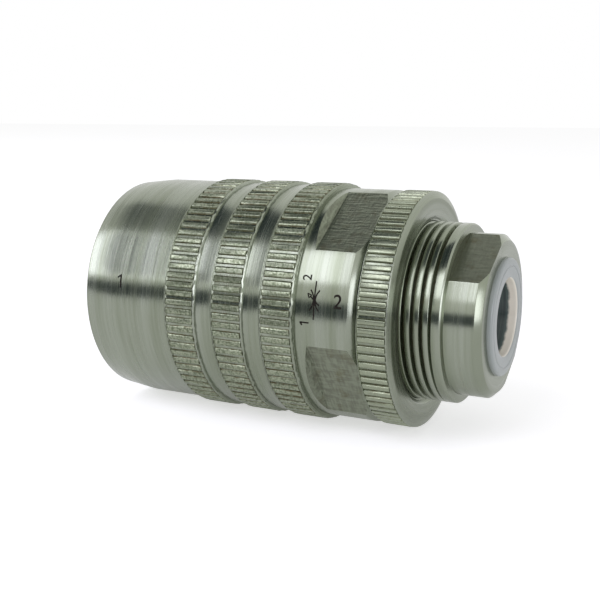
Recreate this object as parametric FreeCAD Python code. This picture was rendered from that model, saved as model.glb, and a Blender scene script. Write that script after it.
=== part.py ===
"""Bidirectional flow control valve, barrel type, G3/8 ports, for in-line mounting.

Flow enters one end of the valve body, leaves it through a row of radial holes, passes the
throttle chamber in the adjusting sleeve and goes back in through the second row of holes.
Turning the sleeve on the body's thread moves it along and its edge covers the second row.
A lock ring on the same thread holds the setting.

Frame: +X along the flow axis from port 1 to port 2, +Z up, the origin on the axis at the
middle of the overall length. Stations are distances from the face of port 1.
"""
import FreeCAD, Part
import math
import os

Vector = FreeCAD.Vector
os.makedirs("parts", exist_ok=True)

# --- Driving dimensions, mm -------------------------------------------------------------

# Adjusting thread M30x1.5, shared by sleeve and lock ring
thread_major = 30.0
thread_pitch = 1.5
thread_depth = 0.92
thread_crest_share = 0.3
thread_root_share = 0.2
thread_clearance = 0.05
sleeve_turns = 3.0
lock_turns = 4.0

# Valve body
body_length = 70.0
body_edge = 0.5
nipple_length = 5.8
nipple_diameter = 27.0
nipple_chamfer = 1.0
thread_chamfer = 0.25
nipple_flat_af = 24.0
nipple_flat_angle = 60.0
relief_width = 1.8
keyway_width = 4.0
keyway_depth = 1.8

# Ports G3/8
port_minor = 14.95
port_major = 16.66
port_depth = 12.0
port_chamfer = 0.9
flow_bore = 13.0
bore_margin = 0.5

# Throttle: two rows of radial holes and the chamber in the sleeve
hole_diameter = 4.0
holes_per_row = 8
first_row_station = 17.5
row_spacing = 10.7
chamber_overlap = 0.2
chamber_margin = 0.7
chamber_depth = 1.5
chamber_ramp = 0.6

# Seal lands and grooves
land_diameter = 32.0
land_clearance = 0.03
seal_clearance = 0.01
seal_wall = 0.7
land_wall = 0.35
land_end_wall = 0.98
o_ring_width = 2.2
backup_width = 1.1
seal_depth = 1.9
o_ring_round = 0.6
guide_width = 1.8
guide_depth = 1.3
wiper_width = 1.3
wiper_depth = 1.5
wiper_lip = 0.4
first_seal_station = 0.9

# Adjusting sleeve, outside
sleeve_rim_diameter = 39.1
sleeve_taper_length = 6.1
sleeve_diameter = 40.5
band_diameter = 41.5
band_start = 17.3
band_width = 6.1
band_gap = 3.05
band_bevel = 0.4
band_teeth = 84
band_tooth_depth = 0.4
shank_diameter = 39.8
shank_after_band = 0.1
sleeve_chamfer = 1.0
sleeve_inner_chamfer = 0.5
sleeve_flat_af = 36.8
sleeve_flat_count = 4
sleeve_flat_angle = 57.4
sleeve_flat_length = 8.0

# Adjusting sleeve, threaded end
sleeve_length = 51.8
sleeve_thread_length = 7.0
stop_washer_thickness = 1.2
stop_end_wall = 1.4
keyway_end_gap = 0.25
stop_washer_diameter = 32.4
washer_clearance = 0.1
tab_clearance = 0.1
circlip_thickness = 1.2
circlip_groove_depth = 0.6
circlip_width = 1.4
circlip_gap = 7.0
circlip_side_play = 0.1

# Knurls: shares of a tooth's pitch, half of the crest and half of the foot
knurl_crest_half = 0.28
knurl_foot_half = 0.42

# Lock ring and its washer
lock_ring_diameter = 40.0
lock_ring_length = 5.7
lock_ring_teeth = 88
lock_tooth_depth = 0.35
lock_chamfer_length = 0.45
lock_chamfer_depth = 1.2
lock_washer_thickness = 1.2
lock_washer_proud = 0.3

# Transport plug in port 2
plug_flange_diameter = 19.5
plug_flange_thickness = 0.8
plug_skirt_length = 7.0
plug_wall = 1.05
plug_floor = 1.0
plug_clearance = 0.05
plug_lip = 0.35
plug_turn_width = 0.8

# --- Values that follow -----------------------------------------------------------------

overall_length = body_length + plug_flange_thickness
thread_radius = thread_major / 2
thread_bore_radius = thread_radius + thread_clearance
sleeve_travel = sleeve_turns * thread_pitch
lock_travel = lock_turns * thread_pitch
land_radius = land_diameter / 2
sleeve_bore_radius = land_radius + land_clearance
seal_radius = sleeve_bore_radius - seal_clearance
hole_radius = hole_diameter / 2
second_row_station = first_row_station + row_spacing

wiper_station = first_seal_station
guide_station = wiper_station + wiper_width + seal_wall
seal_1_station = guide_station + guide_width + seal_wall
seal_width = o_ring_width + 2 * backup_width
chamber_end = second_row_station + hole_radius + chamber_overlap
chamber_start = first_row_station - hole_radius - chamber_margin
seal_2_station = chamber_end + land_wall
land_end = seal_2_station + seal_width + land_end_wall

thread_end = body_length - nipple_length
thread_start = land_end + relief_width
stop_seat = sleeve_length - stop_washer_thickness - circlip_thickness - stop_end_wall
sleeve_thread_start = stop_seat - sleeve_thread_length
keyway_start = stop_seat - sleeve_travel - keyway_end_gap
keyway_floor = thread_radius - keyway_depth
stop_washer_radius = stop_washer_diameter / 2
stop_seat_radius = stop_washer_radius + washer_clearance
circlip_station = stop_seat + stop_washer_thickness

lock_face = sleeve_length + lock_washer_proud
lock_end = lock_face + lock_ring_length
lock_washer_radius = (lock_ring_diameter + thread_major) / 4

plug_inner_end = body_length - plug_skirt_length


# --- Helpers ----------------------------------------------------------------------------

def point(station, radius):
    """Point of a turned profile, in the plane through the axis."""
    return Vector(station - overall_length / 2, 0, radius)


def turned(profile):
    """Solid turned about the flow axis from (station, radius) corners."""
    corners = [point(station, radius) for station, radius in profile]
    face = Part.Face(Part.makePolygon(corners + corners[:1]))
    return face.revolve(Vector(0, 0, 0), Vector(1, 0, 0), 360)


def tube(start, end, inner, outer):
    """Plain ring between two stations."""
    return turned([(start, inner), (end, inner), (end, outer), (start, outer)])


def bore(start, end, radius):
    """Cylinder on the axis, to be cut away."""
    corner = Vector(start - overall_length / 2, 0, 0)
    return Part.makeCylinder(radius, end - start, corner, Vector(1, 0, 0))


def cone(start, start_radius, end, end_radius):
    """Cone frustum on the axis, to be cut away."""
    corner = Vector(start - overall_length / 2, 0, 0)
    return Part.makeCone(start_radius, end_radius, end - start, corner, Vector(1, 0, 0))


def around(shape, angle):
    """Copy turned about the flow axis; 0 faces -Y and 90 faces +Z."""
    copy = shape.copy()
    copy.rotate(Vector(0, 0, 0), Vector(1, 0, 0), -angle)
    return copy


def block(start, end, near, far, width):
    """Box that reaches from radius near to far towards -Y."""
    corner = Vector(start - overall_length / 2, -far, -width / 2)
    return Part.makeBox(end - start, far - near, width, corner)


def toothed(start, end, crest, depth, teeth):
    """Straight-knurled disc: trapezoid teeth around the axis."""
    pitch = 2 * math.pi / teeth
    corners = []
    for tooth in range(teeth):
        foot, top = crest - depth, crest
        left = ((-knurl_foot_half, foot), (-knurl_crest_half, top))
        right = ((knurl_crest_half, top), (knurl_foot_half, foot))
        for share, radius in left + right:
            angle = (tooth + share) * pitch
            across = radius * math.cos(angle)
            up = radius * math.sin(angle)
            corners.append(Vector(start - overall_length / 2, across, up))
    face = Part.Face(Part.makePolygon(corners + corners[:1]))
    return face.extrude(Vector(end - start, 0, 0))


def flats(start, end, across_flats, count, angle, outer):
    """Blocks that mill flats, the first one facing the given angle."""
    cutter = block(start, end, across_flats / 2, outer, 2 * outer)
    return [around(cutter, angle + 360 * turn / count) for turn in range(count)]


def cut_all(shape, cutters):
    """Shape without every cutter."""
    return shape.cut(Part.makeCompound(cutters))


def save(name, shape):
    """One STEP file for one piece."""
    if not shape.isValid():
        raise RuntimeError(name + " is not a valid shape")
    shape.exportStep("parts/" + name + ".step")
    print(name, len(shape.Solids), round(shape.Volume, 1))


# --- Valve body -------------------------------------------------------------------------

def thread_profile():
    """Crests and roots of the adjusting thread, as rings one pitch apart, and its full last crest."""
    root = thread_radius - thread_depth
    crest = thread_crest_share * thread_pitch
    flank = (1 - thread_crest_share - thread_root_share) / 2 * thread_pitch
    last_crest = thread_end - thread_pitch
    rings = int((last_crest - flank - thread_start) / thread_pitch)
    profile = [(thread_start, root)]
    for ring in range(rings, 0, -1):
        station = last_crest - flank - ring * thread_pitch
        profile.append((station, root))
        profile.append((station + flank, thread_radius))
        profile.append((station + flank + crest, thread_radius))
        profile.append((station + 2 * flank + crest, root))
    profile.append((last_crest - flank, root))
    profile.append((last_crest, thread_radius))
    profile.append((thread_end - thread_chamfer, thread_radius))
    profile.append((thread_end, thread_radius - thread_chamfer))
    return profile


def body_outside():
    """Turned outside: seal land, thread relief, thread and nipple."""
    root = thread_radius - thread_depth
    nipple_radius = nipple_diameter / 2
    profile = [(0, 0), (0, land_radius - body_edge), (body_edge, land_radius)]
    profile += [(land_end - body_edge, land_radius), (land_end, land_radius - body_edge), (land_end, root)]
    profile += thread_profile()
    profile += [(thread_end, nipple_radius), (body_length - nipple_chamfer, nipple_radius)]
    profile += [(body_length, nipple_radius - nipple_chamfer), (body_length, 0)]
    return turned(profile)


def port_cutters():
    """Both ports: entry chamfer, thread bore at its minor diameter, flow bore."""
    minor = port_minor / 2
    entry = minor + port_chamfer
    first_bore_end = first_row_station + hole_radius + bore_margin
    second_bore_start = second_row_station - hole_radius - bore_margin
    return [
        cone(0, entry, port_chamfer, minor),
        bore(0, port_depth, minor),
        bore(0, first_bore_end, flow_bore / 2),
        cone(body_length - port_chamfer, minor, body_length, entry),
        bore(body_length - port_depth, body_length, minor),
        bore(second_bore_start, body_length, flow_bore / 2),
        bore(plug_inner_end - plug_turn_width, plug_inner_end, port_major / 2),
    ]


def radial_holes():
    """Two rows of radial holes, one each side of the wall between the ports."""
    cutters = []
    for station in (first_row_station, second_row_station):
        foot = Vector(station - overall_length / 2, 0, 0)
        hole = Part.makeCylinder(hole_radius, land_radius + 1, foot, Vector(0, 0, 1))
        for number in range(holes_per_row):
            cutters.append(around(hole, 360 * number / holes_per_row))
    return cutters


def groove(station, width, depth):
    """Cutter for a groove in the seal land."""
    return tube(station, station + width, land_radius - depth, land_radius + 1)


def make_body():
    """One-piece spindle with both ports."""
    keyway = block(keyway_start, thread_end, keyway_floor, thread_radius + 1, keyway_width)
    cutters = port_cutters()
    cutters += radial_holes()
    cutters.append(groove(wiper_station, wiper_width, wiper_depth))
    cutters.append(groove(guide_station, guide_width, guide_depth))
    cutters.append(groove(seal_1_station, seal_width, seal_depth))
    cutters.append(groove(seal_2_station, seal_width, seal_depth))
    cutters.append(around(keyway, 180))
    cutters += flats(thread_end, body_length, nipple_flat_af, 2, nipple_flat_angle, thread_radius)
    return cut_all(body_outside(), cutters)


# --- Seals on the body ------------------------------------------------------------------

def make_o_ring(seal_station):
    """O-ring squeezed between its groove and the sleeve."""
    start = seal_station + backup_width
    ring = tube(start, start + o_ring_width, land_radius - seal_depth, seal_radius)
    return ring.makeFillet(o_ring_round, [edge for edge in ring.Edges if edge.Closed and edge.Length > 1])


def make_backup_rings(seal_station):
    """Back-up rings on both sides of an O-ring."""
    floor = land_radius - seal_depth
    first = tube(seal_station, seal_station + backup_width, floor, seal_radius)
    far = seal_station + seal_width
    second = tube(far - backup_width, far, floor, seal_radius)
    return first, second


def make_guide_ring():
    """Bearing strip in the sleeve's free end."""
    return tube(guide_station, guide_station + guide_width, land_radius - guide_depth, seal_radius)


def make_wiper_ring():
    """Wiper with its lip towards the open end."""
    floor = land_radius - wiper_depth
    end = wiper_station + wiper_width
    shoulder = land_radius - wiper_lip
    profile = [(wiper_station, floor), (end, floor), (end, shoulder)]
    profile += [(wiper_station + wiper_lip, shoulder), (wiper_station + wiper_lip / 2, seal_radius)]
    profile += [(wiper_station, seal_radius)]
    return turned(profile)


# --- Adjusting sleeve -------------------------------------------------------------------

def sleeve_outside():
    """Turned outside of the sleeve without its knurls."""
    rim = sleeve_rim_diameter / 2
    smooth = sleeve_diameter / 2
    shank = shank_diameter / 2
    bands_end = band_start + 3 * band_width + 2 * band_gap + shank_after_band
    profile = [(0, 0), (0, rim), (sleeve_taper_length, smooth), (bands_end, smooth), (bands_end, shank)]
    profile += [(sleeve_length - sleeve_chamfer, shank), (sleeve_length, shank - sleeve_chamfer)]
    profile += [(sleeve_length, 0)]
    return turned(profile)


def knurled_band(start, width):
    """One knurled band with both its edges bevelled."""
    crest = band_diameter / 2
    inner = sleeve_bore_radius + chamber_depth
    end = start + width
    profile = [(start, inner), (end, inner), (end, crest - band_bevel), (end - band_bevel, crest)]
    profile += [(start + band_bevel, crest), (start, crest - band_bevel)]
    return turned(profile).common(toothed(start, end, crest, band_tooth_depth, band_teeth))


def sleeve_inside():
    """Cutters for the bore, the throttle chamber, the thread and the washer seat."""
    chamber = sleeve_bore_radius + chamber_depth
    chamber_profile = [(chamber_start, 0), (chamber_start, sleeve_bore_radius)]
    chamber_profile += [(chamber_start + chamber_ramp, chamber), (chamber_end - chamber_ramp, chamber)]
    chamber_profile += [(chamber_end, sleeve_bore_radius), (chamber_end, 0)]
    entry = sleeve_bore_radius + sleeve_inner_chamfer
    circlip_end = circlip_station + circlip_thickness + circlip_side_play
    return [
        bore(0, sleeve_thread_start, sleeve_bore_radius),
        cone(0, entry, sleeve_inner_chamfer, sleeve_bore_radius),
        turned(chamber_profile),
        bore(sleeve_thread_start, sleeve_length, thread_bore_radius),
        bore(stop_seat, sleeve_length, stop_seat_radius),
        bore(circlip_station, circlip_end, stop_seat_radius + circlip_groove_depth),
    ]


def make_sleeve():
    """Knurled adjusting sleeve."""
    shape = sleeve_outside()
    for number in range(3):
        start = band_start + number * (band_width + band_gap)
        shape = shape.fuse(knurled_band(start, band_width))
    flat_start = sleeve_length - sleeve_flat_length
    reach = band_diameter / 2
    cutters = flats(flat_start, sleeve_length, sleeve_flat_af, sleeve_flat_count, sleeve_flat_angle, reach)
    return cut_all(shape, sleeve_inside() + cutters)


# --- Washers and circlip ----------------------------------------------------------------

def tab_washer(station, thickness, radius):
    """Washer with one tab in the body's keyway."""
    ring = tube(station, station + thickness, thread_bore_radius + washer_clearance, radius)
    foot = keyway_floor + tab_clearance
    width = keyway_width - 2 * tab_clearance
    tab = block(station, station + thickness, foot, radius - tab_clearance, width)
    return ring.fuse(around(tab, 180)).removeSplitter()


def make_stop_circlip():
    """Internal retaining ring, open where its ends face each other."""
    outer = stop_seat_radius + circlip_groove_depth
    ring = tube(circlip_station, circlip_station + circlip_thickness, outer - circlip_width, outer)
    gap = block(circlip_station, circlip_station + circlip_thickness, 0, outer + 1, circlip_gap)
    return ring.cut(around(gap, 180))


# --- Lock ring --------------------------------------------------------------------------

def make_lock_ring():
    """Knurled lock ring with a seat for its washer."""
    crest = lock_ring_diameter / 2
    low = crest - lock_chamfer_depth
    profile = [(lock_face, 0), (lock_face, low), (lock_face + lock_chamfer_length, crest)]
    profile += [(lock_end - lock_chamfer_length, crest), (lock_end, low), (lock_end, 0)]
    teeth = toothed(lock_face, lock_end, crest, lock_tooth_depth, lock_ring_teeth)
    seat_end = lock_face + lock_washer_thickness - lock_washer_proud
    thread_edge = thread_bore_radius + thread_depth / 2
    return cut_all(turned(profile).common(teeth), [
        bore(lock_face, lock_end, thread_bore_radius),
        bore(lock_face, seat_end, lock_washer_radius + washer_clearance),
        cone(lock_end - thread_depth / 2, thread_bore_radius, lock_end, thread_edge),
    ])


# --- Transport plug ---------------------------------------------------------------------

def make_plug():
    """Hollow plug pressed into port 2, its flange on the body's end face."""
    outer = port_minor / 2 - plug_clearance
    inner = outer - plug_wall
    flange = plug_flange_diameter / 2
    face = body_length + plug_flange_thickness
    profile = [(plug_inner_end, 0), (plug_inner_end, outer - plug_lip), (plug_inner_end + plug_lip, outer)]
    profile += [(body_length, outer), (body_length, flange), (face - plug_lip, flange)]
    profile += [(face, flange - plug_lip), (face, inner + plug_lip), (face - plug_lip, inner)]
    profile += [(plug_inner_end + plug_floor, inner), (plug_inner_end + plug_floor, 0)]
    return turned(profile)


# --- All pieces -------------------------------------------------------------------------

def main():
    """Make and save every piece."""
    save("valve_body", make_body())
    save("wiper_ring", make_wiper_ring())
    save("guide_ring", make_guide_ring())
    for number, station in ((1, seal_1_station), (2, seal_2_station)):
        left, right = make_backup_rings(station)
        sides = ("outer", "inner") if number == 1 else ("inner", "outer")
        save("o_ring_%d" % number, make_o_ring(station))
        save("backup_ring_%d_%s" % (number, sides[0]), left)
        save("backup_ring_%d_%s" % (number, sides[1]), right)
    save("adjusting_sleeve", make_sleeve())
    save("stop_tab_washer", tab_washer(stop_seat, stop_washer_thickness, stop_washer_radius))
    save("stop_circlip", make_stop_circlip())
    save("lock_tab_washer", tab_washer(sleeve_length, lock_washer_thickness, lock_washer_radius))
    save("lock_ring", make_lock_ring())
    save("port_2_plug", make_plug())
    print("overall", overall_length, "sleeve travel", sleeve_travel, "lock travel", lock_travel)
    for name, value in (("seal 1", seal_1_station), ("chamber", chamber_start), ("chamber end", chamber_end),
                        ("seal 2", seal_2_station), ("land end", land_end), ("thread start", thread_start),
                        ("sleeve thread", sleeve_thread_start), ("stop seat", stop_seat),
                        ("keyway", keyway_start), ("lock", lock_face), ("lock end", lock_end)):
        print(name, round(value, 2))


main()
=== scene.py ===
"""Looks of a barrel-type flow control valve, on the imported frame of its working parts.

Stations, such as SLEEVE_END, are millimetres from the face of port 1, as on a workshop drawing,
and radii, such as FLOW_BORE, are millimetres from the flow axis. Every finished piece is in
metres with its place in its mesh.
"""
import math

import bpy
from mathutils import Matrix, Vector


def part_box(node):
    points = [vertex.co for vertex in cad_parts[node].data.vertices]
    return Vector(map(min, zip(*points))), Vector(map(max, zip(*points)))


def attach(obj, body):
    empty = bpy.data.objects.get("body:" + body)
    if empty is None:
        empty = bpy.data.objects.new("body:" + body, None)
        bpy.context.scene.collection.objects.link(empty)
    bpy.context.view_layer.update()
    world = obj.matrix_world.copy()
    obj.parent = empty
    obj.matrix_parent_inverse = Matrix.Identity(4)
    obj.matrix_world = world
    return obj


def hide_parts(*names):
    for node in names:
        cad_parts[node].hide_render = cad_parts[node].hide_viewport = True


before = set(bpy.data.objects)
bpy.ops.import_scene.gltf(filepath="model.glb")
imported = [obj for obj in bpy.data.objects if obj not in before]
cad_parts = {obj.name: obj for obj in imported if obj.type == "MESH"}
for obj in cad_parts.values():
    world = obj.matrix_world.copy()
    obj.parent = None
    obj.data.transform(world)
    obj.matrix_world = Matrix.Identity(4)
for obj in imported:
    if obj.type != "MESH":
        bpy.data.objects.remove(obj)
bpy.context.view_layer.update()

bl_info = {
    "name": "Barrel flow control valve",
    "version": (1, 0, 0),
    "blender": (4, 5, 0),
    "location": "View3D > Sidebar > Flow valve",
    "description": "Models and finishes a knurled in-line throttle valve on its packed frame",
    "category": "Object",
}

MM = 0.001
PORT_1_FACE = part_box("valve_body")[0].x
AXIS = Vector((1, 0, 0))
SLEEVE_END = 51.8
THREAD_END = 64.2
PORT_2_FACE = 70
FLOW_BORE = 6.5


def linear(code):
    """Linear red, green and blue of an sRGB hex code."""
    values = [int(code[i:i + 2], 16) / 255 for i in (1, 3, 5)]
    return tuple(v / 12.92 if v <= 0.04045 else ((v + 0.055) / 1.055) ** 2.4 for v in values)


# --- What a user would change ---------------------------------------------------------------

def length(name, description, millimetres):
    """Length property with its default in millimetres."""
    return bpy.props.FloatProperty(
        name=name, description=description, default=millimetres * MM, unit="LENGTH", precision=5)


def colour(name, description, code):
    """Colour property with an sRGB hex code as its default."""
    return bpy.props.FloatVectorProperty(
        name=name, description=description, default=linear(code), subtype="COLOR", size=3, min=0, max=1)


def angle(name, description, degrees):
    """Angle property with its default in degrees."""
    return bpy.props.FloatProperty(
        name=name, description=description, default=math.radians(degrees), subtype="ANGLE")


class SleeveSizes(bpy.types.PropertyGroup):
    """Turned, knurled and milled shape of the adjusting sleeve."""

    teeth: bpy.props.IntProperty(name="Teeth", description="Teeth round each knurled band", default=84)
    tooth_depth: length("Tooth depth", "From crest to root of the knurl", 0.32)
    band_width: length("Band width", "Length of each knurled band", 6.1)
    first_band: length("First band", "Station where the first band starts", 17.3)
    band_pitch: length("Band pitch", "From one band's start to the next", 9.15)
    smooth_radius: length("Smooth radius", "Radius of the barrel between its bands", 20.25)
    crest_radius: length("Crest radius", "Radius over the knurls", 20.75)
    shank_radius: length("Shank radius", "Radius of the end with the wrench flats", 19.9)
    flat_distance: length("Flat distance", "From the axis to each wrench flat", 18.4)
    flat_length: length("Flat length", "Length of the wrench flats along the axis", 8.0)
    flat_angle: angle("Flat angle", "First flat, above the front", 57.4)


class RingSizes(bpy.types.PropertyGroup):
    """Shape of the lock ring."""

    teeth: bpy.props.IntProperty(name="Teeth", description="Teeth round the lock ring", default=88)
    tooth_depth: length("Tooth depth", "From crest to root of the knurl", 0.4)
    crest_radius: length("Crest radius", "Radius over the knurl", 20.0)
    face_radius: length("Face radius", "Outer radius of the flat end face", 18.8)


class BodySizes(bpy.types.PropertyGroup):
    """Shape of the spindle body and its threads."""

    pitch: length("Pitch", "Pitch of the adjusting thread", 1.5)
    crest_radius: length("Crest radius", "Crest of the adjusting thread", 15.0)
    root_radius: length("Root radius", "Root of the adjusting thread", 14.08)
    nipple_radius: length("Nipple radius", "Turned radius of the wrench nipple", 13.5)
    flat_distance: length("Flat distance", "From the axis to each wrench flat", 12.0)
    flat_angle: angle("Flat angle", "First flat, above the front", 60)
    port_pitch: length("Port pitch", "Pitch of the G3/8 port thread", 1.337)
    port_minor: length("Port minor radius", "Crest of the port thread", 7.475)
    port_major: length("Port major radius", "Root of the port thread", 8.33)


class MarkSizes(bpy.types.PropertyGroup):
    """Port numbers and throttle symbol on the sleeve."""

    above_front: angle("Above the front", "Place of the marks, above the front", 12.7)
    digit: length("Digit height", "Height of the large port numbers", 2.3)
    small_digit: length("Small digit height", "Height of the numbers beside the symbol", 1.6)
    stroke: length("Stroke", "Width of a drawn line", 0.24)


class StageSettings(bpy.types.PropertyGroup):
    """Camera and studio."""

    azimuth: angle("Azimuth", "Camera's way round from the front", 26.845)
    elevation: angle("Elevation", "Camera's rise above the axis", 11.248)
    distance: length("Distance", "From the camera to the point it looks at", 172.04)
    lens: bpy.props.FloatProperty(name="Lens", description="Focal length", default=57.11, unit="CAMERA")
    aim_x: length("Aim along", "Point the camera looks at, along the flow axis", -2.57)
    aim_y: length("Aim across", "Point the camera looks at, across", -0.12)
    aim_z: length("Aim up", "Point the camera looks at, upwards", -0.53)


class Finishes(bpy.types.PropertyGroup):
    """Colours of the materials."""

    zinc: colour("Zinc plating", "Bright zinc on turned steel", "#999f90")
    zinc_shade: colour("Zinc shade", "Duller patches of the zinc", "#868d7a")
    knurl: colour("Knurl", "Rolled zinc-plated crests", "#9ea68f")
    pit: colour("Pits", "Pits between the rolled crests' bright spots", "#6b745e")
    # Oil staining and rust on the milled flats, and also painted shade that darkens thread roots and knurl
    # grooves towards the axis.
    stain_and_painted_shade: colour("Stain", "Old oil in roots and grooves", "#544a28")
    mill: colour("Milled flat", "Zinc over end-milled steel", "#757969")
    ink: colour("Laser mark", "Oxide of the laser marking", "#16120c")
    plug: colour("Plug", "Low-density polyethylene in the light", "#9ca39e")
    # Painted highlight on the inner wall of the plug's mouth.
    plug_mouth_painted_highlight: colour("Plug mouth", "Inner wall of the mouth, lit from outside", "#f8f2e0")
    # Painted shade on the plug's skirt, deep in the port.
    plug_inside_painted_shade: colour("Plug inside", "Low-density polyethylene with steel behind it", "#34403d")
    spring: colour("Spring steel", "Phosphated washers and circlip", "#3b3c3e")
    rubber: colour("Nitrile", "Nitrile rubber", "#181818")
    ptfe: colour("PTFE", "Back-up rings", "#dcdad2")
    urethane: colour("Polyurethane", "Wiper", "#274a5a")
    resin: colour("Guide strip", "Cloth-filled phenolic", "#7a5236")


# --- Modelling helpers ----------------------------------------------------------------------

def fresh():
    """Object mode with nothing selected."""
    if bpy.context.object and bpy.context.object.mode != "OBJECT":
        bpy.ops.object.mode_set(mode="OBJECT")
    bpy.ops.object.select_all(action="DESELECT")


def pick(*pieces):
    """Select only these pieces, the first one active."""
    fresh()
    for piece in pieces:
        piece.select_set(True)
    bpy.context.view_layer.objects.active = pieces[0]


def at(station, radius):
    """Point above the flow axis, from a station and a radius in millimetres."""
    return Vector((PORT_1_FACE + station * MM, 0, radius * MM))


def chain(name, profile, closed):
    """Edges from point to point of a turned profile, extruded one by one."""
    fresh()
    bpy.ops.mesh.primitive_plane_add(size=MM, location=(0, 0, 0))
    piece = bpy.context.object
    piece.name = name
    bpy.ops.object.mode_set(mode="EDIT")
    bpy.ops.mesh.select_mode(type="VERT")
    bpy.ops.mesh.select_all(action="SELECT")
    bpy.ops.mesh.merge(type="CENTER")
    points = [at(station, radius) for station, radius in profile]
    if closed:
        points.append(points[0])
    bpy.ops.transform.translate(value=points[0])
    for start, end in zip(points, points[1:]):
        bpy.ops.mesh.extrude_region_move(TRANSFORM_OT_translate={"value": end - start})
    bpy.ops.mesh.select_all(action="SELECT")
    bpy.ops.mesh.remove_doubles(threshold=1e-6)
    return piece


def eased(profile, radius):
    """Profile with every long-sided corner rounded by a short arc, as a lathe hand breaks edges."""
    result = [profile[0]]
    for before, corner, after in zip(profile, profile[1:], profile[2:]):
        here = Vector(corner)
        back = Vector(before) - here
        ahead = Vector(after) - here
        if min(back.length, ahead.length) < 2.4 * radius or back.angle(ahead) > math.radians(165):
            result.append(corner)
            continue
        start = here + back.normalized() * radius
        end = here + ahead.normalized() * radius
        middle = (start + end + 1.2 * here) / 3.2
        result += [tuple(start), tuple(middle), tuple(end)]
    return result + [profile[-1]]


def turned(name, profile, steps, closed=True):
    """Solid of revolution about the flow axis."""
    piece = chain(name, profile, closed)
    bpy.ops.mesh.spin(steps=steps, angle=2 * math.pi, center=(0, 0, 0), axis=AXIS)
    bpy.ops.mesh.select_all(action="SELECT")
    bpy.ops.mesh.remove_doubles(threshold=1e-6)
    bpy.ops.mesh.normals_make_consistent(inside=False)
    bpy.ops.object.mode_set(mode="OBJECT")
    return piece


def thread_ridge(name, profile, pitch, turns, steps):
    """Closed helical ridge along the flow axis, right-handed."""
    piece = chain(name, profile, True)
    bpy.ops.object.mode_set(mode="OBJECT")
    screw = piece.modifiers.new("helix", "SCREW")
    screw.axis = "X"
    screw.angle = 2 * math.pi
    screw.screw_offset = pitch * MM
    screw.iterations = turns
    screw.steps = steps
    screw.render_steps = steps
    screw.use_normal_calculate = True
    apply(piece, screw)
    bpy.ops.object.mode_set(mode="EDIT")
    bpy.ops.mesh.select_all(action="SELECT")
    bpy.ops.mesh.fill_holes(sides=0)
    bpy.ops.mesh.select_all(action="SELECT")
    bpy.ops.mesh.normals_make_consistent(inside=False)
    bpy.ops.object.mode_set(mode="OBJECT")
    return piece


def apply(piece, modifier):
    """Apply one modifier."""
    pick(piece)
    bpy.ops.object.modifier_apply(modifier=modifier.name)


def place_in_mesh(piece):
    """Move an object's place, turn and scale into its mesh."""
    pick(piece)
    bpy.ops.object.transform_apply(location=True, rotation=True, scale=True)


def box_cutter(low, high, width, angle, material, run_out=0.0):
    """Box facing the front between two stations, from one radius out, then swung to an angle.

    With a run-out, the box's first end leans that far back where a milling cutter climbs out.
    """
    fresh()
    start, near = low
    end, far = high
    centre = Vector((PORT_1_FACE + (start + end) / 2 * MM, -(near + far) / 2 * MM, 0))
    bpy.ops.mesh.primitive_cube_add(size=1, location=centre)
    cutter = bpy.context.object
    cutter.scale = ((end - start) * MM, (far - near) * MM, width * MM)
    place_in_mesh(cutter)
    for corner in cutter.data.vertices:
        if corner.co.x < centre.x and corner.co.y < centre.y:
            corner.co.x -= run_out * (far - near) * MM
    swing(cutter, angle)
    cutter.data.materials.append(material)
    return cutter


def swing(piece, angle):
    """Turn a piece's mesh about the flow axis, from the front towards the top."""
    piece.data.transform(Matrix.Rotation(-angle, 4, "X"))


def cut(piece, cutters):
    """Cut several solids out of a piece; cut faces keep the cutters' material."""
    for cutter in cutters:
        difference = piece.modifiers.new("cut", "BOOLEAN")
        difference.operation = "DIFFERENCE"
        difference.solver = "MANIFOLD"
        difference.material_mode = "TRANSFER"
        difference.object = cutter
        apply(piece, difference)
        bpy.data.objects.remove(cutter)


def ring_of(tooth, count):
    """Copy a tooth round the axis with an array, joined as one mesh."""
    fresh()
    bpy.ops.object.empty_add(location=(0, 0, 0), rotation=(2 * math.pi / count, 0, 0))
    step = bpy.context.object
    array = tooth.modifiers.new("round", "ARRAY")
    array.count = count
    array.use_relative_offset = False
    array.use_object_offset = True
    array.offset_object = step
    bpy.context.view_layer.update()
    apply(tooth, array)
    bpy.data.objects.remove(step)
    return tooth


def knurl_tooth(name, start, end, root, crest, count, end_slope):
    """One straight-knurl tooth: a cube drawn in at its top, with its edges broken."""
    pitch = 2 * math.pi * crest / count
    sunk = 0.35
    height = crest - root + sunk
    middle = Vector((PORT_1_FACE + (start + end) / 2 * MM, 0, (root - sunk + height / 2) * MM))
    fresh()
    bpy.ops.mesh.primitive_cube_add(size=1, location=middle)
    tooth = bpy.context.object
    tooth.name = name
    foot = 0.74 * pitch * (1 + sunk / (crest - root) * 0.3)
    tooth.scale = ((end - start) * MM, foot * MM, height * MM)
    place_in_mesh(tooth)
    bpy.ops.object.mode_set(mode="EDIT")
    bpy.ops.mesh.select_all(action="DESELECT")
    bpy.ops.object.mode_set(mode="OBJECT")
    for face in tooth.data.polygons:
        face.select = face.normal.z > 0.9
    bpy.ops.object.mode_set(mode="EDIT")
    bpy.ops.mesh.select_mode(type="FACE")
    along = (end - start - 2 * end_slope) / (end - start)
    across = 0.5 * pitch / foot
    bpy.ops.transform.resize(value=(along, across, 1), center_override=(middle.x, 0, crest * MM))
    bpy.ops.mesh.select_all(action="SELECT")
    bpy.ops.mesh.bevel(offset=0.1 * MM, segments=3, affect="EDGES")
    bpy.ops.object.mode_set(mode="OBJECT")
    return ring_of(tooth, count)


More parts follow.
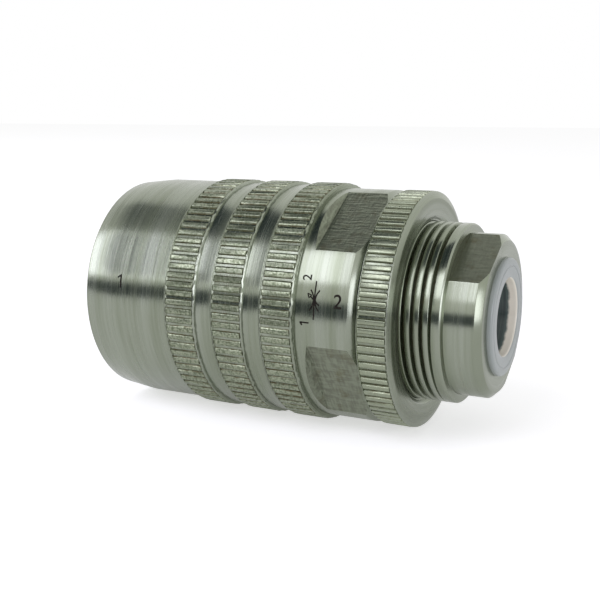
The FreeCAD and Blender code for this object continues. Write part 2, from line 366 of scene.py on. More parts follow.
def roughen(piece, distance, seed):
    """Shift every vertex a little, as rolled teeth never come out alike."""
    pick(piece)
    bpy.ops.object.mode_set(mode="EDIT")
    bpy.ops.mesh.select_all(action="SELECT")
    bpy.ops.transform.vertex_random(offset=distance * MM, uniform=1.0, normal=0.0, seed=seed)
    bpy.ops.object.mode_set(mode="OBJECT")


def join(pieces, name):
    """One piece from several."""
    pick(*pieces)
    bpy.ops.object.join()
    piece = bpy.context.object
    piece.name = name
    piece.data.name = name
    return piece


def smooth(piece, degrees, flat_material=None):
    """Smooth shading with sharp edges kept, and milled faces left flat."""
    pick(piece)
    bpy.ops.object.shade_smooth_by_angle(angle=math.radians(degrees))
    if flat_material is None:
        return
    index = piece.data.materials.find(flat_material.name)
    for face in piece.data.polygons:
        if face.material_index == index:
            face.use_smooth = False


def paint(piece, material):
    """Give the whole piece one material."""
    piece.data.materials.clear()
    piece.data.materials.append(material)


# --- Material helpers -----------------------------------------------------------------------

def add(tree, kind, settings=None, inputs=None):
    """Add one node with its settings; inputs are values or other nodes' outputs."""
    node = tree.nodes.new(kind)
    for key, value in (settings or {}).items():
        setattr(node, key, value)
    for key, value in (inputs or {}).items():
        if isinstance(value, bpy.types.NodeSocket):
            tree.links.new(value, node.inputs[key])
        else:
            node.inputs[key].default_value = value
    return node


def opaque(value):
    """Colour with full alpha."""
    return (value[0], value[1], value[2], 1.0)


def start_material(name):
    """Empty node material with its tree and output."""
    material = bpy.data.materials.new(name)
    material.use_nodes = True
    tree = material.node_tree
    tree.nodes.clear()
    return material, tree, add(tree, "ShaderNodeOutputMaterial")


def object_place(tree):
    """Object coordinates, in metres."""
    return add(tree, "ShaderNodeTexCoord").outputs["Object"]


def axis_distance(tree):
    """Object coordinates, their X, and the distance from the flow axis."""
    place = object_place(tree)
    parts = add(tree, "ShaderNodeSeparateXYZ", inputs={0: place})
    flat = add(tree, "ShaderNodeVectorMath", {"operation": "MULTIPLY"}, {0: place, 1: (0, 1, 1)})
    radius = add(tree, "ShaderNodeVectorMath", {"operation": "LENGTH"}, {0: flat.outputs[0]})
    return place, parts.outputs["X"], radius.outputs["Value"]


def lathe_marks(tree, spacing, drift):
    """Noise drawn out round the axis: fine lines a lathe tool leaves on faces and barrels alike."""
    place, along, radius = axis_distance(tree)
    run = add(tree, "ShaderNodeMath", {"operation": "ADD"}, {0: along, 1: radius})
    across = add(tree, "ShaderNodeMath", {"operation": "MULTIPLY"}, {
        0: run.outputs[0], 1: 1 / (spacing * MM)})
    slow = add(tree, "ShaderNodeVectorMath", {"operation": "SCALE"}, {0: place, 3: 1 / (drift * MM)})
    slow_parts = add(tree, "ShaderNodeSeparateXYZ", inputs={0: slow.outputs[0]})
    vector = add(tree, "ShaderNodeCombineXYZ", inputs={
        0: across.outputs[0], 1: slow_parts.outputs["Y"], 2: slow_parts.outputs["Z"]})
    return add(tree, "ShaderNodeTexNoise", inputs={
        "Vector": vector.outputs[0], "Scale": 1.0, "Detail": 3.0, "Roughness": 0.6})


def spread(tree, value, low, high, out_low, out_high):
    """Map a value between two limits onto another span."""
    return add(tree, "ShaderNodeMapRange", inputs={
        0: value, 1: low, 2: high, 3: out_low, 4: out_high}).outputs[0]


def blend_colours(tree, share, first, second):
    """Mix two colours; either may be a value or an output."""
    first = first if isinstance(first, bpy.types.NodeSocket) else opaque(first)
    second = second if isinstance(second, bpy.types.NodeSocket) else opaque(second)
    return add(tree, "ShaderNodeMix", {"data_type": "RGBA"}, {0: share, 6: first, 7: second}).outputs[2]


def noise(tree, place, grain, detail):
    """Noise with grains of a given size in millimetres."""
    return add(tree, "ShaderNodeTexNoise", inputs={
        "Vector": place, "Scale": 1 / (grain * MM), "Detail": detail})


def bump(tree, height, depth):
    """Bump of a real depth in millimetres."""
    return add(tree, "ShaderNodeBump", inputs={
        "Height": height, "Distance": depth * MM, "Strength": 1.0}).outputs[0]


def turned_zinc(name, finishes, stain_and_shade_from=None, stain_and_shade_to=None):
    """Zinc-plated steel, turned: grey-green metal with fine rings that stretch its reflections.

    Line spacing is about 0.35 mm, coarser than the real feed marks so that they show. Given two
    radii, what lies nearer the axis turns darker and browner, as in thread roots: partly oil
    staining, partly painted shade.
    """
    material, tree, output = start_material(name)
    lines = lathe_marks(tree, 0.35, 30)
    place, _, radius = axis_distance(tree)
    bands = lathe_marks(tree, 1.8, 40)
    dull = spread(tree, bands.outputs[0], 0.35, 0.65, 0, 1)
    base = blend_colours(tree, dull, finishes.zinc, finishes.zinc_shade)
    rough = spread(tree, lines.outputs[0], 0.3, 0.7, 0.2, 0.3)
    if stain_and_shade_from is not None:
        grime = noise(tree, place, 1.6, 3.0)
        # Painted shade with oil staining: darker, browner and rougher nearer the axis, in the thread roots.
        depth = spread(tree, radius, stain_and_shade_from * MM, stain_and_shade_to * MM, 0, 1)
        share = add(tree, "ShaderNodeMath", {"operation": "MULTIPLY"}, {
            0: depth, 1: spread(tree, grime.outputs[0], 0.35, 0.6, 0.35, 1)})
        base = blend_colours(tree, spread(tree, share.outputs[0], 0, 1, 0, 0.7), base, finishes.stain_and_painted_shade)
        rough = add(tree, "ShaderNodeMath", {"operation": "ADD", "use_clamp": True}, {
            0: rough, 1: spread(tree, share.outputs[0], 0, 1, 0, 0.3)}).outputs[0]
    tangent = add(tree, "ShaderNodeTangent", {"direction_type": "RADIAL", "axis": "X"})
    shader = add(tree, "ShaderNodeBsdfPrincipled", inputs={
        "Base Color": base, "Metallic": 1.0, "Roughness": rough, "Anisotropic": 0.7,
        "Anisotropic Rotation": 0.25, "Tangent": tangent.outputs[0],
        "Normal": bump(tree, lines.outputs[0], 0.012)})
    tree.links.new(shader.outputs[0], output.inputs[0])
    return material


def knurled_zinc(name, finishes, root, crest, stain_and_painted_shade, pitting, polish):
    """Zinc-plated steel, knurl rolled in: pitted crests, and grooves darker and browner towards the root,
    partly from old oil and partly as painted shade.
    """
    material, tree, output = start_material(name)
    place, _, radius = axis_distance(tree)
    pits = noise(tree, place, 0.35, 4.0)
    grime = noise(tree, place, 1.1, 2.0)
    # Painted shade with oil staining: the grooves turn darker, browner and less metallic towards the root.
    depth = spread(tree, radius, (crest - 0.06) * MM, (root + 0.08) * MM, 0.12, 1)
    share = add(tree, "ShaderNodeMath", {"operation": "MULTIPLY"}, {
        0: depth, 1: spread(tree, grime.outputs[0], 0.38, 0.62, 0.3 * stain_and_painted_shade, stain_and_painted_shade)})
    clean = spread(tree, pits.outputs[0], 0.38, 0.56, 1 - pitting, 1)
    shade = blend_colours(tree, clean, finishes.pit, finishes.knurl)
    base = blend_colours(tree, share.outputs[0], shade, finishes.stain_and_painted_shade)
    shader = add(tree, "ShaderNodeBsdfPrincipled", inputs={
        "Base Color": base, "Metallic": spread(tree, share.outputs[0], 0.2, 0.9, 1, 0.25),
        "Roughness": spread(tree, pits.outputs[0], 0.3, 0.7, polish + 0.15, polish),
        "Normal": bump(tree, pits.outputs[0], 0.04 * pitting)})
    tree.links.new(shader.outputs[0], output.inputs[0])
    return material


def milled_zinc(name, finishes, contrast):
    """Zinc-plated steel, end-milled: a fine grid of cutter marks about 0.45 mm apart, and dull."""
    material, tree, output = start_material(name)
    place = object_place(tree)
    drawn_out = 420
    along = add(tree, "ShaderNodeMapping", inputs={
        "Vector": place, "Scale": (1 / (0.4 * MM), drawn_out, drawn_out)})
    around = add(tree, "ShaderNodeMapping", inputs={
        "Vector": place, "Scale": (drawn_out, 1 / (0.45 * MM), 1 / (0.45 * MM))})
    first = add(tree, "ShaderNodeTexNoise", inputs={
        "Vector": along.outputs[0], "Scale": 1.0, "Detail": 2.0})
    second = add(tree, "ShaderNodeTexNoise", inputs={
        "Vector": around.outputs[0], "Scale": 1.0, "Detail": 2.0})
    grid = add(tree, "ShaderNodeMath", {"operation": "ADD"}, {0: first.outputs[0], 1: second.outputs[0]})
    worn = spread(tree, grid.outputs[0], 0.85, 1.15, 0, contrast)
    base = blend_colours(tree, worn, finishes.mill, finishes.zinc_shade)
    rust = noise(tree, place, 2.2, 3.0)
    base = blend_colours(tree, spread(tree, rust.outputs[0], 0.55, 0.75, 0, 0.45), base, finishes.stain_and_painted_shade)
    shader = add(tree, "ShaderNodeBsdfPrincipled", inputs={
        "Base Color": base, "Metallic": 1.0,
        "Roughness": spread(tree, grid.outputs[0], 0.8, 1.2, 0.42, 0.3),
        "Normal": bump(tree, grid.outputs[0], 0.1 * contrast)})
    tree.links.new(shader.outputs[0], output.inputs[0])
    return material


def laser_oxide(name, finishes):
    """Laser-annealed steel: a matt dark brown oxide film, uneven along each stroke."""
    material, tree, output = start_material(name)
    place = object_place(tree)
    burn = noise(tree, place, 0.4, 2.0)
    light = tuple(2.2 * c for c in finishes.ink)
    base = blend_colours(tree, spread(tree, burn.outputs[0], 0.45, 0.7, 0, 1), finishes.ink, light)
    shader = add(tree, "ShaderNodeBsdfPrincipled", inputs={
        "Base Color": base, "Roughness": 0.6, "Specular IOR Level": 0.15})
    tree.links.new(shader.outputs[0], output.inputs[0])
    return material


def translucent_plug(name, finishes):
    """Low-density polyethylene, injection moulded: its own milky colour on the face, and a painted
    highlight on the inner wall of the mouth where light would come in from outside.

    Its skirt has painted shade, with lighter rings, where the steel port would shut out the light
    behind the thin wall.
    """
    material, tree, output = start_material(name)
    place, along, radius = axis_distance(tree)
    flow = noise(tree, place, 1.2, 2.0)
    uneven = add(tree, "ShaderNodeMath", {"operation": "MULTIPLY_ADD"}, {
        0: flow.outputs[0], 1: 0.7 * MM, 2: along})
    rings = lathe_marks(tree, 1.0, 20)
    # Painted shade on the skirt deep in the port, with lighter rings.
    painted_shade_lighter_rings = tuple(2.2 * c for c in finishes.plug_inside_painted_shade)
    ribbed = spread(tree, rings.outputs[0], 0.45, 0.6, 0, 1)
    painted_inner_shade = blend_colours(tree, ribbed, finishes.plug_inside_painted_shade, painted_shade_lighter_rings)
    # Painted highlight on the inner wall of the mouth, by station along the axis.
    mouth = spread(tree, uneven.outputs[0], PORT_1_FACE + 69.4 * MM, PORT_1_FACE + 69.8 * MM, 0, 1)
    face = add(tree, "ShaderNodeMath", {"operation": "ADD", "use_clamp": True}, {
        0: spread(tree, along, PORT_1_FACE + 70.6 * MM, PORT_1_FACE + 70.75 * MM, 0, 1),
        1: spread(tree, radius, 6.5 * MM, 6.8 * MM, 0, 1)})
    inside = blend_colours(tree, mouth, painted_inner_shade, finishes.plug_mouth_painted_highlight)
    base = blend_colours(tree, face.outputs[0], inside, finishes.plug)
    shader = add(tree, "ShaderNodeBsdfPrincipled", inputs={
        "Base Color": base, "Roughness": 0.3, "IOR": 1.51, "Transmission Weight": 0.12,
        "Normal": bump(tree, flow.outputs[0], 0.02)})
    tree.links.new(shader.outputs[0], output.inputs[0])
    return material


def plain_finish(name, colour_value, metallic, rough_low, rough_high, grain, depth):
    """Material of a small inner part: one colour with a fine grain in shade, gloss and relief."""
    material, tree, output = start_material(name)
    place = object_place(tree)
    specks = noise(tree, place, grain, 3.0)
    darker = tuple(0.7 * c for c in colour_value)
    base = blend_colours(tree, spread(tree, specks.outputs[0], 0.35, 0.65, 0, 1), darker, colour_value)
    shader = add(tree, "ShaderNodeBsdfPrincipled", inputs={
        "Base Color": base, "Metallic": metallic,
        "Roughness": spread(tree, specks.outputs[0], 0.3, 0.7, rough_low, rough_high),
        "Normal": bump(tree, specks.outputs[0], depth)})
    tree.links.new(shader.outputs[0], output.inputs[0])
    return material


# --- Pieces ---------------------------------------------------------------------------------

class VALVE_OT_adjusting_sleeve(bpy.types.Operator):
    """Turn the barrel, roll its three knurled bands and mill its four wrench flats"""

    bl_idname = "valve.adjusting_sleeve"
    bl_label = "Adjusting sleeve"

    def execute(self, context):
        sizes = context.scene.valve_sleeve
        finishes = context.scene.valve_finishes
        crest = sizes.crest_radius / MM
        root = crest - sizes.tooth_depth / MM
        smooth_radius = sizes.smooth_radius / MM
        turned_metal = turned_zinc("zinc_plated_turned_steel", finishes)
        # Knurl grooves get painted shade with oil staining, at full strength.
        knurl_metal = knurled_zinc("zinc_plated_knurled_steel", finishes, root, crest, 1.0, 1.0, 0.26)
        mill_metal = milled_zinc("zinc_plated_milled_steel", finishes, 0.9)

        barrel = turned("barrel", self.profile(sizes, root, crest, smooth_radius), 4 * sizes.teeth)
        paint(barrel, turned_metal)
        start = SLEEVE_END - sizes.flat_length / MM
        near = sizes.flat_distance / MM
        cutters = []
        for number in range(4):
            angle = sizes.flat_angle + number * math.pi / 2
            cutters.append(box_cutter((start, near), (53, 24), 30, angle, mill_metal, 0.58))
        cut(barrel, cutters)
        smooth(barrel, 40, mill_metal)

        parts = [barrel]
        for band in range(3):
            first = (sizes.first_band + band * sizes.band_pitch) / MM
            last = first + sizes.band_width / MM
            teeth = knurl_tooth("teeth", first + 0.2, last - 0.3, root, crest, sizes.teeth, 0.3)
            edge = [(last - 0.5, root - 0.2), (last - 0.46, crest - 0.16), (last - 0.3, crest - 0.05)]
            edge += [(last - 0.12, crest - 0.15), (last, smooth_radius - 0.1)]
            lip = turned("lip", edge, 3 * sizes.teeth)
            roughen(lip, 0.06, band)
            roughen(teeth, 0.03, band)
            for rolled, metal in ((teeth, knurl_metal), (lip, turned_metal)):
                paint(rolled, metal)
                smooth(rolled, 50)
                parts.append(rolled)
        sleeve = join(parts, "adjusting_sleeve_knurled")
        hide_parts("adjusting_sleeve")
        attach(sleeve, "sleeve")
        return {"FINISHED"}

    def profile(self, sizes, root, crest, smooth_radius):
        """Outside from the open end to the flats, then back through the bore."""
        outline = [(0, 18), (0, 19.35), (0.25, 19.6), (6.1, smooth_radius)]
        for band in range(3):
            first = (sizes.first_band + band * sizes.band_pitch) / MM
            last = first + sizes.band_width / MM
            outline += [(first - 0.1, smooth_radius), (first + 0.24, crest - 0.1)]
            outline += [(first + 0.34, crest - 0.08), (first + 0.48, root)]
            outline += [(last - 0.05, root), (last, smooth_radius)]
        outline = eased(outline, 0.12)
        shank = sizes.shank_radius / MM
        outline += [(41.8, smooth_radius), (41.85, shank), (50.75, shank), (50.85, shank - 0.05)]
        outline += [(SLEEVE_END, shank - 1)]
        bore = [(SLEEVE_END, 16.6), (51.5, 16.3), (50.5, 16.3), (50.5, 16.9), (49.2, 16.9)]
        bore += [(49.2, 16.3), (48, 16.3), (48, 15.5), (47.6, 15.05), (41, 15.05), (41, 16.03)]
        bore += [(30.4, 16.03), (29.8, 17.53), (15.4, 17.53), (14.8, 16.03), (0.5, 16.03), (0, 16.53)]
        return outline + bore


class VALVE_OT_sleeve_marks(bpy.types.Operator):
    """Mark the port numbers and the throttle symbol on the sleeve"""

    bl_idname = "valve.sleeve_marks"
    bl_label = "Sleeve marks"

    def execute(self, context):
        sizes = context.scene.valve_marks
        sleeve = bpy.data.objects["adjusting_sleeve_knurled"]
        digit = sizes.digit / MM
        small = sizes.small_digit / MM
        strokes = [
            self.number("2", 49.15, -0.45, digit, 0),
            self.number("2", 43.55, 3.15, small, math.pi / 2),
        ]
        width = sizes.stroke / MM
        strokes += self.one(8.0, -0.35, digit, 0, 1.2 * width)
        strokes += self.one(43.55, -4.15, small, math.pi / 2, 1.1 * width)
        strokes += self.symbol(45.15, -0.45, width)
        marks = join(strokes, "sleeve_marks")
        self.wrap(marks, sleeve, sizes.above_front)
        paint(marks, laser_oxide("laser_annealed_oxide", context.scene.valve_finishes))
        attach(marks, "sleeve")
        return {"FINISHED"}

    def stand(self, piece, station, rise):
        """Stand a flat drawing up in front of the sleeve, at a station and a height round it."""
        front = Matrix.Rotation(math.pi / 2, 4, "X")
        shift = Matrix.Translation((PORT_1_FACE + station * MM, -20 * MM, rise * MM))
        place_in_mesh(piece)
        piece.data.transform(shift @ front)

    def number(self, digits, station, rise, height, turn):
        """Plain number, made a mesh."""
        fresh()
        bpy.ops.object.text_add(location=(0, 0, 0))
        text = bpy.context.object
        text.data.body = digits
        text.data.size = 1.37 * height * MM
        text.data.align_x = "CENTER"
        text.data.align_y = "CENTER"
        text.data.offset = 0.012 * height * MM
        bpy.ops.object.convert(target="MESH")
        piece = bpy.context.object
        piece.data.transform(Matrix.Rotation(turn, 4, "Z"))
        self.stand(piece, station, rise)
        return piece

    def one(self, station, rise, height, turn, width):
        """Figure one: a stem with a short flag."""
        pieces = [self.line((0, -height / 2), (0, height / 2), width)]
        pieces.append(self.line((0.05, height / 2 - 0.08), (-0.3 * height, height / 4), width))
        for piece in pieces:
            piece.data.transform(Matrix.Rotation(turn, 4, "Z"))
            self.stand(piece, station, rise)
        return pieces

    def line(self, start, end, width):
        """Straight stroke between two points, in millimetres."""
        a = Vector(start)
        b = Vector(end)
        fresh()
        bpy.ops.mesh.primitive_plane_add(size=1, location=(0, 0, 0))
        piece = bpy.context.object
        piece.scale = ((b - a).length * MM, width * MM, 1)
        place_in_mesh(piece)
        slope = math.atan2(b.y - a.y, b.x - a.x)
        middle = (a + b) / 2 * MM
        piece.data.transform(Matrix.Translation((middle.x, middle.y, 0)) @ Matrix.Rotation(slope, 4, "Z"))
        return piece

    def arc(self, side, near, radius, half_angle, width):
        """Curved stroke that bulges towards the flow line: a short edge spun about the arc's centre."""
        start = Vector((-side * math.cos(half_angle), -math.sin(half_angle), 0))
        fresh()
        bpy.ops.mesh.primitive_plane_add(size=MM, location=(0, 0, 0))
        piece = bpy.context.object
        bpy.ops.object.mode_set(mode="EDIT")
        bpy.ops.mesh.select_mode(type="VERT")
        bpy.ops.mesh.select_all(action="SELECT")
        bpy.ops.mesh.merge(type="CENTER")
        bpy.ops.transform.translate(value=start * radius * MM)
        bpy.ops.mesh.extrude_region_move(TRANSFORM_OT_translate={"value": start * width * MM})
        bpy.ops.mesh.select_all(action="SELECT")
        bpy.ops.mesh.spin(steps=16, angle=2 * half_angle * side, center=(0, 0, 0), axis=(0, 0, 1))
        bpy.ops.object.mode_set(mode="OBJECT")
        piece.data.transform(Matrix.Translation((side * (near + radius) * MM, 0, 0)))
        return piece

    def symbol(self, station, rise, width):
        """Adjustable throttle: flow line, two arcs back to back and an oblique arrow."""
        pieces = [self.line((0, -3.1), (0, 3.1), width)]
        for side in (-1, 1):
            pieces.append(self.arc(side, 0.27, 2.3, math.radians(43), width))
        pieces.append(self.line((0.85, -0.75), (-0.75, 0.62), width))
        head = [(-1.25, 1.05), (-0.55, 0.8), (-0.95, 0.35)]
        for first, second in zip(head, head[1:] + head[:1]):
            pieces.append(self.line(first, second, width * 0.8))
        for piece in pieces:
            self.stand(piece, station, rise)
        return pieces

    def wrap(self, marks, sleeve, angle):
        """Lay flat strokes on the barrel and give them a film's thickness."""
        swing(marks, angle)
        pick(marks)
        bpy.ops.object.mode_set(mode="EDIT")
        bpy.ops.mesh.select_all(action="SELECT")
        bpy.ops.mesh.quads_convert_to_tris()
        bpy.ops.mesh.subdivide(number_cuts=3)
        bpy.ops.mesh.normals_make_consistent(inside=False)
        bpy.ops.object.mode_set(mode="OBJECT")
        lay = marks.modifiers.new("lay", "SHRINKWRAP")
        lay.target = sleeve
        lay.wrap_method = "NEAREST_SURFACEPOINT"
        lay.wrap_mode = "ABOVE_SURFACE"
        lay.offset = 0.012 * MM
        apply(marks, lay)
        film = marks.modifiers.new("film", "SOLIDIFY")
        film.thickness = 0.012 * MM
        film.offset = 0
        apply(marks, film)


class VALVE_OT_lock_ring(bpy.types.Operator):
    """Turn and knurl the lock ring"""

    bl_idname = "valve.lock_ring"
    bl_label = "Lock ring"

    def execute(self, context):
        sizes = context.scene.valve_ring
        finishes = context.scene.valve_finishes
        crest = sizes.crest_radius / MM
        root = crest - sizes.tooth_depth / MM
        face = sizes.face_radius / MM
        outline = [(52.1, 18), (52.1, 18.7), (52.35, crest - 0.14), (52.5, crest - 0.1), (52.65, root)]
        outline += [(57.2, root), (57.2, crest - 0.1), (57.32, crest - 0.04), (57.42, crest - 0.1)]
        outline += [(57.8, face), (57.8, 15.95), (57.2, 15.35)]
        outline += [(57.2, 15.05), (53.2, 15.05), (53, 15.3), (53, 17.6), (52.1, 17.6)]
        ring = turned("ring", eased(outline, 0.1), 4 * sizes.teeth)
        paint(ring, turned_zinc("zinc_plated_turned_ring", finishes))
        smooth(ring, 35)
        teeth = knurl_tooth("teeth", 52.4, 57.3, root, crest, sizes.teeth, 0.2)
        roughen(teeth, 0.012, 7)
        # Painted shade darkens the ring's knurl grooves; 0.8 sets how strongly.
        paint(teeth, knurled_zinc("zinc_plated_knurled_ring", finishes, root, crest, 0.8, 0.15, 0.24))
        smooth(teeth, 50)
        piece = join([ring, teeth], "lock_ring_knurled")
        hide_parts("lock_ring")
        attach(piece, "lock_nut")
        return {"FINISHED"}


class VALVE_OT_spindle_body(bpy.types.Operator):
    """Turn the spindle body, cut its threads, holes, keyway and wrench flats"""

    bl_idname = "valve.spindle_body"
    bl_label = "Spindle body"

    def execute(self, context):
        sizes = context.scene.valve_body
        finishes = context.scene.valve_finishes
        root = sizes.root_radius / MM
        crest = sizes.crest_radius / MM
        pitch = sizes.pitch / MM
        turned_metal = turned_zinc("zinc_plated_turned_body", finishes)
        # Thread roots darker and browner towards the axis: partly oil staining, partly painted shade.
        thread_metal = turned_zinc("zinc_plated_thread", finishes, crest - 0.45, root)
        mill_metal = milled_zinc("zinc_plated_milled_nipple", finishes, 0.25)

        core = turned("core", self.profile(sizes, root, crest), 192, closed=False)
        paint(core, turned_metal)
        core.data.materials.append(thread_metal)
        for face in core.data.polygons:
            station = (face.center.x - PORT_1_FACE) / MM
            if 36.2 < station < 62.7:
                face.material_index = 1
        near = sizes.flat_distance / MM
        flats = [
            box_cutter((THREAD_END, near), (72, 20), 40, sizes.flat_angle + turn, mill_metal)
            for turn in (0, math.pi)]
        cut(core, flats + [self.keyway(mill_metal)] + self.radial_holes(mill_metal))
        smooth(core, 35, mill_metal)

        ridge = [(0.02, -0.15), (0.17, 0.84), (0.2, 0.97), (0.24, 1)]
        ridge += [(0.7, 1), (0.74, 0.97), (0.77, 0.84), (0.96, -0.15)]
        ridge = [(38.2 + along * pitch, root + rise * (crest - root)) for along, rise in ridge]
        helix = thread_ridge("helix", ridge, pitch, 16, 120)
        paint(helix, thread_metal)
        cut(helix, [self.keyway(thread_metal)])
        smooth(helix, 50)
        parts = [core, helix]
        for start in (0.9, 58.1):
            port = self.port_thread(sizes, start)
            paint(port, thread_metal)
            smooth(port, 50)
            parts.append(port)
        piece = join(parts, "spindle_body")
        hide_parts("valve_body")
        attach(piece, "body")
        return {"FINISHED"}

    def profile(self, sizes, root, crest):
        """From the wall between the ports round the outside and back to it."""
        major = sizes.port_major / MM
        nipple = sizes.nipple_radius / MM
        outline = [(20, 0), (20, FLOW_BORE), (13.3, FLOW_BORE), (12, major), (0.6, major), (0, major + 0.6)]
        outline += [(0, 15.5), (0.5, 16)]
        grooves = ((0.9, 2.2, 14.5), (2.9, 4.7, 14.7), (5.4, 9.8, 14.1), (30.75, 35.15, 14.1))
        for start, end, floor in grooves:
            outline += [(start, 16), (start, floor), (end, floor), (end, 16)]
        outline += [(35.63, 16), (36.13, 15.5), (36.13, root), (62.4, root), (62.7, crest), (63.95, crest)]
        outline += [(THREAD_END, crest - 0.25), (THREAD_END, nipple), (PORT_2_FACE - 1, nipple)]
        outline += [(PORT_2_FACE, nipple - 1), (PORT_2_FACE, major + 0.6), (69.4, major), (58, major)]
        outline += [(56.7, FLOW_BORE), (25.7, FLOW_BORE), (25.7, 0)]
        return eased(outline, 0.07)

    def keyway(self, material):
        """Cutter for the keyed washers' slot, along the thread at the back."""
        return box_cutter((43.25, 13.2), (THREAD_END, 17), 4, math.pi, material)

    def radial_holes(self, material):
        """Two rows of eight holes through the wall."""
        holes = []
        for station in (17.5, 28.2):
            for number in range(8):
                fresh()
                bpy.ops.mesh.primitive_cylinder_add(
                    vertices=32, radius=2 * MM, depth=14 * MM,
                    location=(PORT_1_FACE + station * MM, 0, 11.5 * MM))
                hole = bpy.context.object
                place_in_mesh(hole)
                swing(hole, number * math.pi / 4)
                hole.data.materials.append(material)
                holes.append(hole)
        return holes

    def port_thread(self, sizes, start):
        """Right-hand thread ridge inside a port."""
        major = sizes.port_major / MM + 0.06
        minor = sizes.port_minor / MM
        pitch = sizes.port_pitch / MM
        ridge = [(0, major), (0.42, minor + 0.04), (0.46, minor)]
        ridge += [(0.52, minor), (0.56, minor + 0.04), (0.98, major)]
        outline = [(start + along * pitch, radius) for along, radius in ridge]
        return thread_ridge("port_thread", outline, pitch, 8, 72)


class VALVE_OT_transport_plug(bpy.types.Operator):
    """Mould the hollow transport plug in port 2"""

    bl_idname = "valve.transport_plug"
    bl_label = "Transport plug"

    def execute(self, context):
        outline = [(64, 0), (64, 6.1), (64.25, 6.37), (70.35, 6.37), (70.62, 6.47), (70.76, 6.67)]
        outline += [(70.8, 6.9), (70.8, 8.25), (70.72, 8.3), (70.7, 8.4), (70.72, 8.5), (70.8, 8.55)]
        outline += [(70.8, 9.3), (70.72, 9.6), (70.5, 9.75)]
        outline += [(PORT_2_FACE, 9.75), (PORT_2_FACE, 7.45), (69.8, 7.42)]
        outline += [(63.4, 7.42), (63.1, 7.3), (63, 7.05), (63, 0)]
        plug = turned("transport_plug", outline, 128, closed=False)
        smooth(plug, 50)
        paint(plug, translucent_plug("low_density_polyethylene", context.scene.valve_finishes))
        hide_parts("port_2_plug")
        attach(plug, "plug")
        return {"FINISHED"}


class VALVE_OT_inner_parts(bpy.types.Operator):
    """Finish the washers, the circlip and the seals"""

    bl_idname = "valve.inner_parts"
    bl_label = "Inner parts"

    def execute(self, context):
        colours = context.scene.valve_finishes
        spring = plain_finish("phosphated_spring_steel", colours.spring, 1.0, 0.3, 0.45, 0.3, 0.01)
        nitrile = plain_finish("nitrile_rubber", colours.rubber, 0.0, 0.5, 0.7, 0.4, 0.02)
        ptfe = plain_finish("ptfe", colours.ptfe, 0.0, 0.4, 0.55, 0.8, 0.01)
        urethane = plain_finish("moulded_polyurethane", colours.urethane, 0.0, 0.3, 0.45, 0.6, 0.01)
        resin = plain_finish("phenolic_cloth", colours.resin, 0.0, 0.45, 0.6, 0.5, 0.03)
        by_start = (
            ("stop", spring), ("lock_tab", spring), ("o_ring", nitrile), ("backup", ptfe),
            ("wiper", urethane), ("guide", resin))
        for name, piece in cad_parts.items():
            for start, material in by_start:
                if name.startswith(start):
                    paint(piece, material)
        return {"FINISHED"}


# --- Stage ----------------------------------------------------------------------------------

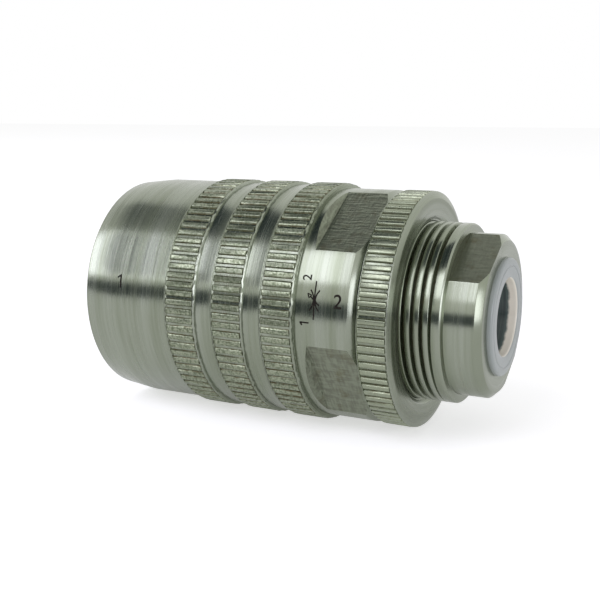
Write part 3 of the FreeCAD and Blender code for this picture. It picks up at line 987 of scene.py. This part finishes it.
class VALVE_OT_stage(bpy.types.Operator):
    """Set the pale floor, the studio lights, the dark cards and the camera"""

    bl_idname = "valve.stage"
    bl_label = "Stage"

    def execute(self, context):
        settings = context.scene.valve_stage
        self.surroundings(context.scene)
        self.floor()
        self.panel("softbox", -0.175, math.radians(43), 0.6, (0.42, 0.34), 2.6)
        self.panel("side_softbox", -1.16, math.radians(45), 0.6, (0.8, 0.66), 4.0)
        self.end_panel("end_softbox", Vector((0.56, -0.24, 0.1)), (0.34, 0.34), 3.6)
        self.card("horizon_card", -0.2, math.radians(2.5), 0.2, (0.9, 0.053))
        self.card("side_card", -0.57, math.radians(42), 0.57, (0.37, 0.5))
        self.card("top_card", -0.22, math.radians(86), 0.5, (0.62, 0.39))
        self.camera(context.scene, settings)
        view = context.scene.view_settings
        view.view_transform = "Standard"
        return {"FINISHED"}

    def face_valve(self, piece, along, rise, distance):
        """Put a flat thing beside the valve: so far along, risen from the front, facing the flow axis."""
        piece.location = (along, -distance * math.cos(rise), distance * math.sin(rise))
        piece.rotation_euler = (math.pi / 2 - rise, 0, 0)

    def panel(self, name, along, rise, distance, size, radiance):
        """Rectangular softbox of a given radiance."""
        bpy.ops.object.light_add(type="AREA", location=(0, 0, 0))
        light = bpy.context.object
        light.name = name
        light.data.shape = "RECTANGLE"
        light.data.size, light.data.size_y = size
        light.data.energy = radiance * math.pi * size[0] * size[1]
        light.data.color = linear("#eeebff")
        self.face_valve(light, along, rise, distance)

    def end_panel(self, name, place, size, radiance):
        """Softbox off the valve's end, which lights the chamfer and the plug."""
        self.panel(name, 0, 0, 1, size, radiance)
        light = bpy.context.object
        light.location = place
        light.rotation_euler = place.to_track_quat("Z", "Y").to_euler()

    def card(self, name, along, rise, distance, size):
        """Dark studio card that only reflections show."""
        fresh()
        bpy.ops.mesh.primitive_plane_add(size=1, location=(0, 0, 0))
        card = bpy.context.object
        card.name = name
        card.scale = (size[0], size[1], 1)
        self.face_valve(card, along, rise, distance)
        material, tree, output = start_material("dark_card")
        shader = add(tree, "ShaderNodeEmission", inputs={0: opaque(linear("#3f494e")), 1: 1.0})
        tree.links.new(shader.outputs[0], output.inputs[0])
        paint(card, material)
        card.visible_camera = False
        card.visible_diffuse = False
        card.visible_transmission = False
        card.visible_shadow = False

    def seen(self, tree):
        """One for camera, glossy and transmission rays, zero for the rest."""
        path = add(tree, "ShaderNodeLightPath")
        first = add(tree, "ShaderNodeMath", {"operation": "MAXIMUM"}, {
            0: path.outputs["Is Camera Ray"], 1: path.outputs["Is Glossy Ray"]})
        return add(tree, "ShaderNodeMath", {"operation": "MAXIMUM"}, {
            0: first.outputs[0], 1: path.outputs["Is Transmission Ray"]}).outputs[0]

    def surroundings(self, scene):
        """White room: full white where it is seen, half of it as light."""
        world = bpy.data.worlds.new("white_room")
        world.use_nodes = True
        tree = world.node_tree
        tree.nodes.clear()
        output = add(tree, "ShaderNodeOutputWorld")
        strength = spread(tree, self.seen(tree), 0, 1, 0.5, 1.0)
        shader = add(tree, "ShaderNodeBackground", inputs={0: (1, 1, 1, 1), 1: strength})
        tree.links.new(shader.outputs[0], output.inputs[0])
        scene.world = world

    def floor(self):
        """White table that keeps the valve's soft shadow."""
        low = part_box("adjusting_sleeve")[0].z
        fresh()
        bpy.ops.mesh.primitive_plane_add(size=6, location=(0, 0, low))
        floor = bpy.context.object
        floor.name = "white_table"
        material, tree, output = start_material("white_table")
        matt = add(tree, "ShaderNodeBsdfDiffuse", inputs={0: (0.8, 0.8, 0.8, 1)})
        path = add(tree, "ShaderNodeLightPath")
        strength = spread(tree, path.outputs["Is Camera Ray"], 0, 1, 0.3, 0.56)
        glow = add(tree, "ShaderNodeEmission", inputs={0: (1, 1, 1, 1), 1: strength})
        total = add(tree, "ShaderNodeAddShader", inputs={0: matt.outputs[0], 1: glow.outputs[0]})
        tree.links.new(total.outputs[0], output.inputs[0])
        paint(floor, material)

    def camera(self, scene, settings):
        """Camera beside the valve, turned towards port 2 and a little above the axis."""
        aim = Vector((settings.aim_x, settings.aim_y, settings.aim_z))
        flat = math.cos(settings.elevation)
        back = Vector((
            math.sin(settings.azimuth) * flat,
            -math.cos(settings.azimuth) * flat,
            math.sin(settings.elevation)))
        bpy.ops.object.camera_add(location=aim + back * settings.distance)
        camera = bpy.context.object
        camera.rotation_euler = (-back).to_track_quat("-Z", "Y").to_euler()
        camera.data.lens = settings.lens
        camera.data.clip_start = 0.01
        camera.data.clip_end = 20
        scene.camera = camera


class VALVE_PT_panel(bpy.types.Panel):
    """List of the valve's pieces"""

    bl_idname = "VALVE_PT_panel"
    bl_label = "Flow valve"
    bl_space_type = "VIEW_3D"
    bl_region_type = "UI"
    bl_category = "Flow valve"

    def draw(self, context):
        for operator in OPERATORS:
            self.layout.operator(operator.bl_idname)


GROUPS = {
    "valve_sleeve": SleeveSizes,
    "valve_ring": RingSizes,
    "valve_body": BodySizes,
    "valve_marks": MarkSizes,
    "valve_stage": StageSettings,
    "valve_finishes": Finishes,
}
OPERATORS = (
    VALVE_OT_adjusting_sleeve,
    VALVE_OT_sleeve_marks,
    VALVE_OT_lock_ring,
    VALVE_OT_spindle_body,
    VALVE_OT_transport_plug,
    VALVE_OT_inner_parts,
    VALVE_OT_stage,
)


def register():
    """Register the settings, the operators and the panel."""
    for name, group in GROUPS.items():
        bpy.utils.register_class(group)
        setattr(bpy.types.Scene, name, bpy.props.PointerProperty(type=group))
    for operator in OPERATORS:
        bpy.utils.register_class(operator)
    bpy.utils.register_class(VALVE_PT_panel)


def unregister():
    """Take everything back."""
    bpy.utils.unregister_class(VALVE_PT_panel)
    for operator in reversed(OPERATORS):
        bpy.utils.unregister_class(operator)
    for name, group in GROUPS.items():
        delattr(bpy.types.Scene, name)
        bpy.utils.unregister_class(group)


def main():
    """Make every piece and the stage."""
    register()
    bpy.ops.valve.adjusting_sleeve()
    bpy.ops.valve.sleeve_marks()
    bpy.ops.valve.lock_ring()
    bpy.ops.valve.spindle_body()
    bpy.ops.valve.transport_plug()
    bpy.ops.valve.inner_parts()
    bpy.ops.valve.stage()
    fresh()


if __name__ == "__main__":
    main()
